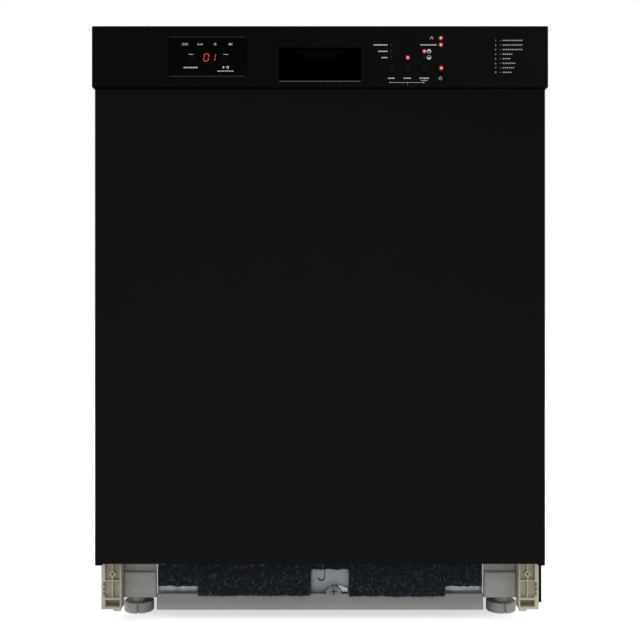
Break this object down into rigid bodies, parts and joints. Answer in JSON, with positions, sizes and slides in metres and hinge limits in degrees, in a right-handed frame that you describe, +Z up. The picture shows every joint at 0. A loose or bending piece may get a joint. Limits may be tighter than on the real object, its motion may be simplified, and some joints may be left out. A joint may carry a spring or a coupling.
{
  "type": "built-in dishwasher",
  "caption": "Built-in dishwasher: black drop-down door with a handle pocket and push buttons, stainless tub, roll-out racks, spray arms and levelling feet.",
  "frame": {"origin": "On the floor, under the middle of the machine’s bounding box.", "axes": "+X to the right of someone facing the door, -Y out through the door, +Z up."},
  "size_m": [0.598, 0.5714, 0.815],
  "materials": {
    "dark_tray": "moulded dark grey plastic, light grain",
    "beige_bracket": "moulded beige plastic, ribbed",
    "grey_moulding": "moulded mid grey plastic",
    "grey_rail": "painted mid grey, satin",
    "grey_foot": "moulded grey plastic",
    "galvanised": "galvanised sheet, spangled",
    "fibre": "black fibre mat with pale strands",
    "screw_steel": "zinc-plated",
    "black_strip": "black, semi-gloss",
    "stainless": "brushed stainless sheet",
    "black_rubber": "matt black rubber",
    "grey_felt": "grey felt blanket",
    "zinc_sheet": "zinc-coated sheet",
    "spring_steel": "oiled spring wire",
    "grey_plastic": "moulded grey plastic",
    "white_plastic": "moulded white plastic",
    "pump_black": "moulded black plastic",
    "heater_steel": "heat-tinted steel tube",
    "coated_wire": "grey nylon-coated wire",
    "rail_steel": "bright rolled rail",
    "door_black": "black coated steel, satin",
    "fascia_black": "black moulded plastic, fine texture",
    "window_dark": "dark glossy plastic",
    "lamp_red": "clear red lens",
    "button_black": "black, polished edge",
    "board_green": "green circuit board"
  },
  "bodies": {
    "cabinet": {"base_tray": "dark_tray", "front_brackets": "beige_bracket", "leg_housings": "grey_moulding", "front_rail": "grey_rail", "cross_plate": "galvanised", "fibre_mats": "fibre", "base_screws": "screw_steel", "right_side_strip": "black_strip", "tub": "stainless", "tub_front_frame": "stainless", "door_gasket": "black_rubber", "tub_insulation": "grey_felt", "side_panels": "zinc_sheet", "top_fixing_brackets": "zinc_sheet", "rear_cover": "zinc_sheet", "hinge_brackets": "zinc_sheet", "door_springs": "spring_steel", "sump": "grey_plastic", "filter_plate": "stainless", "circulation_pump": "pump_black", "drain_pump": "pump_black", "heater": "heater_steel", "inlet_valve": "white_plastic", "terminal_box": "pump_black", "feed_tube": "grey_plastic", "fixed_rails": "rail_steel"},
    "door": {"door_outer_panel": "door_black", "door_inner_panel": "stainless", "door_insulation": "grey_felt", "control_panel": "fascia_black", "display_window": "window_dark", "control_electronics": "board_green", "panel_chassis": "dark_tray", "lamp_lenses": "lamp_red", "handle_pocket": "fascia_black", "hinge_arms": "zinc_sheet", "detergent_dispenser": "grey_plastic"},
    "upper_rack": {"upper_rack": "coated_wire", "rack_manifold": "grey_plastic"},
    "middle_rails": {"middle_rails": "rail_steel"},
    "upper_spray_arm": {"upper_spray_arm": "grey_plastic"},
    "lower_rack": {"lower_rack": "coated_wire", "cutlery_basket": "grey_plastic"},
    "front_wheels": {"front_wheels": "grey_plastic"},
    "rear_wheels": {"rear_wheels": "grey_plastic"},
    "lower_spray_arm": {"lower_spray_arm": "grey_plastic"},
    "filter_cylinder": {"filter_cylinder": "grey_plastic"},
    "pull_lever": {"pull_lever": "fascia_black"},
    "latch_hook": {"latch_hook": "zinc_sheet"},
    "detergent_lid": {"detergent_lid": "grey_plastic"},
    "rinse_aid_cap": {"rinse_aid_cap": "grey_plastic"},
    "front_left_foot": {"front_left_foot": "grey_foot"},
    "front_right_foot": {"front_right_foot": "grey_foot"},
    "rear_foot": {"rear_foot": "grey_foot"},
    "display_button_1": {"display_button_1": "button_black"},
    "display_button_2": {"display_button_2": "button_black"},
    "panel_button_1": {"panel_button_1": "button_black"},
    "panel_button_2": {"panel_button_2": "button_black"},
    "panel_button_3": {"panel_button_3": "button_black"},
    "panel_button_4": {"panel_button_4": "button_black"}
  },
  "joints": [
    {"name": "door_hinge", "type": "hinge", "parent": "cabinet", "child": "door", "pos_m": [0, -0.2553, 0.098], "axis": [1, 0, 0], "range_deg": [0, 90], "stiffness_Nm_per_rad": 22, "deforming": ["door_springs"]},
    {"name": "upper_rack_slide", "type": "slide", "parent": "cabinet", "child": "upper_rack", "axis": [0, -1, 0], "range_m": [0, 0.473]},
    {"name": "middle_rail_slide", "type": "slide", "parent": "cabinet", "child": "middle_rails", "axis": [0, -1, 0], "range_m": [0, 0.237]},
    {"name": "lower_rack_slide", "type": "slide", "parent": "cabinet", "child": "lower_rack", "axis": [0, -1, 0], "range_m": [0, 0.205]},
    {"name": "front_wheel_roll", "type": "hinge", "parent": "lower_rack", "child": "front_wheels", "pos_m": [0, -0.0663, 0.1473], "axis": [1, 0, 0], "range_deg": [0, 652]},
    {"name": "rear_wheel_roll", "type": "hinge", "parent": "lower_rack", "child": "rear_wheels", "pos_m": [0, 0.1677, 0.1473], "axis": [1, 0, 0], "range_deg": [0, 652]},
    {"name": "upper_spray_spin", "type": "hinge", "parent": "upper_rack", "child": "upper_spray_arm", "pos_m": [0, 0.0257, 0.438], "axis": [0, 0, 1], "continuous": true},
    {"name": "lower_spray_spin", "type": "hinge", "parent": "cabinet", "child": "lower_spray_arm", "pos_m": [0, 0.0257, 0.152], "axis": [0, 0, 1], "continuous": true},
    {"name": "filter_twist", "type": "hinge", "parent": "cabinet", "child": "filter_cylinder", "pos_m": [0, -0.0523, 0.121], "axis": [0, 0, 1], "range_deg": [0, 90]},
    {"name": "lever_pull", "type": "hinge", "parent": "door", "child": "pull_lever", "pos_m": [0, -0.2543, 0.7652], "axis": [1, 0, 0], "range_deg": [0, 8], "stiffness_Nm_per_rad": 0.3, "springref_deg": -5.73},
    {"name": "latch_release", "type": "hinge", "parent": "door", "child": "latch_hook", "pos_m": [0, -0.2446, 0.7811], "axis": [-1, 0, 0], "range_deg": [0, 8]},
    {"name": "detergent_lid_slide", "type": "slide", "parent": "door", "child": "detergent_lid", "axis": [1, 0, 0], "range_m": [0, 0.084]},
    {"name": "rinse_cap_twist", "type": "hinge", "parent": "door", "child": "rinse_aid_cap", "pos_m": [0.084, -0.2243, 0.46], "axis": [0, 1, 0], "range_deg": [0, 90]},
    {"name": "front_left_foot_screw", "type": "slide", "parent": "cabinet", "child": "front_left_foot", "axis": [0, 0, -1], "range_m": [0, 0.025]},
    {"name": "front_right_foot_screw", "type": "slide", "parent": "cabinet", "child": "front_right_foot", "axis": [0, 0, -1], "range_m": [0, 0.025]},
    {"name": "rear_foot_screw", "type": "slide", "parent": "cabinet", "child": "rear_foot", "axis": [0, 0, -1], "range_m": [0, 0.025]},
    {"name": "display_button_1_press", "type": "slide", "parent": "door", "child": "display_button_1", "axis": [0, 1, 0], "range_m": [0, 0.0012], "stiffness_N_per_m": 400, "springref_m": -0.0005},
    {"name": "display_button_2_press", "type": "slide", "parent": "door", "child": "display_button_2", "axis": [0, 1, 0], "range_m": [0, 0.0012], "stiffness_N_per_m": 400, "springref_m": -0.0005},
    {"name": "panel_button_1_press", "type": "slide", "parent": "door", "child": "panel_button_1", "axis": [0, 1, 0], "range_m": [0, 0.0012], "stiffness_N_per_m": 400, "springref_m": -0.0005},
    {"name": "panel_button_2_press", "type": "slide", "parent": "door", "child": "panel_button_2", "axis": [0, 1, 0], "range_m": [0, 0.0012], "stiffness_N_per_m": 400, "springref_m": -0.0005},
    {"name": "panel_button_3_press", "type": "slide", "parent": "door", "child": "panel_button_3", "axis": [0, 1, 0], "range_m": [0, 0.0012], "stiffness_N_per_m": 400, "springref_m": -0.0005},
    {"name": "panel_button_4_press", "type": "slide", "parent": "door", "child": "panel_button_4", "axis": [0, 1, 0], "range_m": [0, 0.0012], "stiffness_N_per_m": 400, "springref_m": -0.0005}
  ],
  "couplings": [
    {"joint": "upper_rack_slide", "follows": "door_hinge", "m_per_rad": 0.3},
    {"joint": "middle_rail_slide", "follows": "door_hinge", "m_per_rad": 0.15},
    {"joint": "lower_rack_slide", "follows": "door_hinge", "m_per_rad": 0.13},
    {"joint": "front_wheel_roll", "follows": "door_hinge", "ratio": 7.2222},
    {"joint": "rear_wheel_roll", "follows": "door_hinge", "ratio": 7.2222},
    {"joint": "latch_release", "follows": "lever_pull", "ratio": 1}
  ]
}
